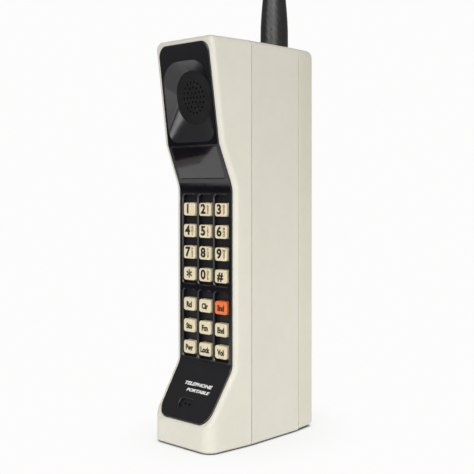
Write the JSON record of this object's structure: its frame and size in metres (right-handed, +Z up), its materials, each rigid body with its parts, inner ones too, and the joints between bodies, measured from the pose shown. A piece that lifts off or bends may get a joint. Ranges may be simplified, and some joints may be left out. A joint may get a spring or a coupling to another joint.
{
  "type": "early mobile brick phone",
  "caption": "Early handheld mobile phone: upright brick body, sloped black front with keypad, display and earpiece, screw-in flexible whip antenna and slide-off battery pack.",
  "frame": {"origin": "middle of the base it stands on", "axes": "+Z up, the front with the keypad faces -Y, +X is the right side seen from the front"},
  "size_m": [0.049, 0.0874, 0.34],
  "materials": {
    "shell_cream": "fine moulded texture, satin",
    "panel_black": "fine moulded texture, satin",
    "mask_black": "matt",
    "key_cream": "satin",
    "key_orange": "satin",
    "lens_smoke": "smoked, polished",
    "grille_black": "matt",
    "rubber_black": "matt",
    "mat_grey": "matt",
    "board_green": "solder mask",
    "chip_black": "epoxy",
    "digit_red": "clear red",
    "ribbon_amber": "polyimide film",
    "chassis_metal": "milled",
    "shield_tin": "tinned",
    "ceramic": "silvered ceramic",
    "screw_steel": "zinc plated",
    "brass": "turned",
    "gold_contact": "gold flashed",
    "nickel": "satin",
    "cell_sleeve": "printed sleeve",
    "block_black": "matt",
    "core_steel": "wound wire"
  },
  "bodies": {
    "handset": {"antenna_socket": "brass", "base_contacts": "gold_contact", "board_connector": "block_black", "board_screws": "screw_steel", "chassis": "chassis_metal", "coax_lead": "rubber_black", "contact_block": "block_black", "contact_springs": "gold_contact", "display_digits": "digit_red", "display_lens": "lens_smoke", "display_module": "board_green", "display_ribbon": "ribbon_amber", "duplexer": "ceramic", "earpiece_gasket": "rubber_black", "earpiece_grille": "grille_black", "earpiece_speaker": "nickel", "front_housing": "shell_cream", "front_panel": "panel_black", "housing_screws": "screw_steel", "key_mask": "mask_black", "key_mat": "mat_grey", "keypad_board": "board_green", "logic_board": "board_green", "logic_components": "chip_black", "microphone": "nickel", "microphone_boot": "rubber_black", "radio_board": "board_green", "radio_components": "chip_black", "radio_shield": "shield_tin", "rear_housing": "shell_cream"},
    "key_1": {"key_1": "key_cream"},
    "key_2": {"key_2": "key_cream"},
    "key_3": {"key_3": "key_cream"},
    "key_4": {"key_4": "key_cream"},
    "key_5": {"key_5": "key_cream"},
    "key_6": {"key_6": "key_cream"},
    "key_7": {"key_7": "key_cream"},
    "key_8": {"key_8": "key_cream"},
    "key_9": {"key_9": "key_cream"},
    "key_star": {"key_star": "key_cream"},
    "key_0": {"key_0": "key_cream"},
    "key_hash": {"key_hash": "key_cream"},
    "key_recall": {"key_recall": "key_cream"},
    "key_clear": {"key_clear": "key_cream"},
    "key_send": {"key_send": "key_orange"},
    "key_store": {"key_store": "key_cream"},
    "key_function": {"key_function": "key_cream"},
    "key_end": {"key_end": "key_cream"},
    "key_power": {"key_power": "key_cream"},
    "key_lock": {"key_lock": "key_cream"},
    "key_volume": {"key_volume": "key_cream"},
    "battery_pack": {"pack_shell": "shell_cream", "pack_tray": "shell_cream", "pack_contacts": "gold_contact", "pack_cells": "cell_sleeve", "cell_links": "nickel"},
    "battery_latch": {"pack_latch": "shell_cream"},
    "antenna_screw": {"antenna_ferrule": "brass"},
    "antenna_whip": {"antenna_cover": "rubber_black", "antenna_core": "core_steel"}
  },
  "joints": [
    {"name": "key_1_press", "type": "slide", "parent": "handset", "child": "key_1", "axis": [0, 1, 0], "range_m": [0, 0.0012], "stiffness_N_per_m": 600},
    {"name": "key_2_press", "type": "slide", "parent": "handset", "child": "key_2", "axis": [0, 1, 0], "range_m": [0, 0.0012], "stiffness_N_per_m": 600},
    {"name": "key_3_press", "type": "slide", "parent": "handset", "child": "key_3", "axis": [0, 1, 0], "range_m": [0, 0.0012], "stiffness_N_per_m": 600},
    {"name": "key_4_press", "type": "slide", "parent": "handset", "child": "key_4", "axis": [0, 1, 0], "range_m": [0, 0.0012], "stiffness_N_per_m": 600},
    {"name": "key_5_press", "type": "slide", "parent": "handset", "child": "key_5", "axis": [0, 1, 0], "range_m": [0, 0.0012], "stiffness_N_per_m": 600},
    {"name": "key_6_press", "type": "slide", "parent": "handset", "child": "key_6", "axis": [0, 1, 0], "range_m": [0, 0.0012], "stiffness_N_per_m": 600},
    {"name": "key_7_press", "type": "slide", "parent": "handset", "child": "key_7", "axis": [0, 1, 0], "range_m": [0, 0.0012], "stiffness_N_per_m": 600},
    {"name": "key_8_press", "type": "slide", "parent": "handset", "child": "key_8", "axis": [0, 1, 0], "range_m": [0, 0.0012], "stiffness_N_per_m": 600},
    {"name": "key_9_press", "type": "slide", "parent": "handset", "child": "key_9", "axis": [0, 1, 0], "range_m": [0, 0.0012], "stiffness_N_per_m": 600},
    {"name": "key_star_press", "type": "slide", "parent": "handset", "child": "key_star", "axis": [0, 1, 0], "range_m": [0, 0.0012], "stiffness_N_per_m": 600},
    {"name": "key_0_press", "type": "slide", "parent": "handset", "child": "key_0", "axis": [0, 1, 0], "range_m": [0, 0.0012], "stiffness_N_per_m": 600},
    {"name": "key_hash_press", "type": "slide", "parent": "handset", "child": "key_hash", "axis": [0, 1, 0], "range_m": [0, 0.0012], "stiffness_N_per_m": 600},
    {"name": "key_recall_press", "type": "slide", "parent": "handset", "child": "key_recall", "axis": [0, 1, 0], "range_m": [0, 0.0012], "stiffness_N_per_m": 600},
    {"name": "key_clear_press", "type": "slide", "parent": "handset", "child": "key_clear", "axis": [0, 1, 0], "range_m": [0, 0.0012], "stiffness_N_per_m": 600},
    {"name": "key_send_press", "type": "slide", "parent": "handset", "child": "key_send", "axis": [0, 1, 0], "range_m": [0, 0.0012], "stiffness_N_per_m": 600},
    {"name": "key_store_press", "type": "slide", "parent": "handset", "child": "key_store", "axis": [0, 1, 0], "range_m": [0, 0.0012], "stiffness_N_per_m": 600},
    {"name": "key_function_press", "type": "slide", "parent": "handset", "child": "key_function", "axis": [0, 1, 0], "range_m": [0, 0.0012], "stiffness_N_per_m": 600},
    {"name": "key_end_press", "type": "slide", "parent": "handset", "child": "key_end", "axis": [0, 1, 0], "range_m": [0, 0.0012], "stiffness_N_per_m": 600},
    {"name": "key_power_press", "type": "slide", "parent": "handset", "child": "key_power", "axis": [0, 1, 0], "range_m": [0, 0.0012], "stiffness_N_per_m": 600},
    {"name": "key_lock_press", "type": "slide", "parent": "handset", "child": "key_lock", "axis": [0, 1, 0], "range_m": [0, 0.0012], "stiffness_N_per_m": 600},
    {"name": "key_volume_press", "type": "slide", "parent": "handset", "child": "key_volume", "axis": [0, 1, 0], "range_m": [0, 0.0012], "stiffness_N_per_m": 600},
    {"name": "pack_slide", "type": "slide", "parent": "handset", "child": "battery_pack", "axis": [0, 1, 0], "range_m": [0, 0.06]},
    {"name": "latch_slide", "type": "slide", "parent": "battery_pack", "child": "battery_latch", "axis": [0, 0, -1], "range_m": [0, 0.003], "stiffness_N_per_m": 300},
    {"name": "antenna_rise", "type": "slide", "parent": "handset", "child": "antenna_screw", "axis": [0, 0, 1], "range_m": [0, 0.005]},
    {"name": "antenna_turn", "type": "hinge", "parent": "antenna_screw", "child": "antenna_whip", "pos_m": [0.012, 0.0181, 0.22], "axis": [0, 0, 1], "range_deg": [0, 1800]}
  ],
  "couplings": [
    {"joint": "antenna_turn", "follows": "antenna_rise", "rad_per_m": 6283.2}
  ]
}
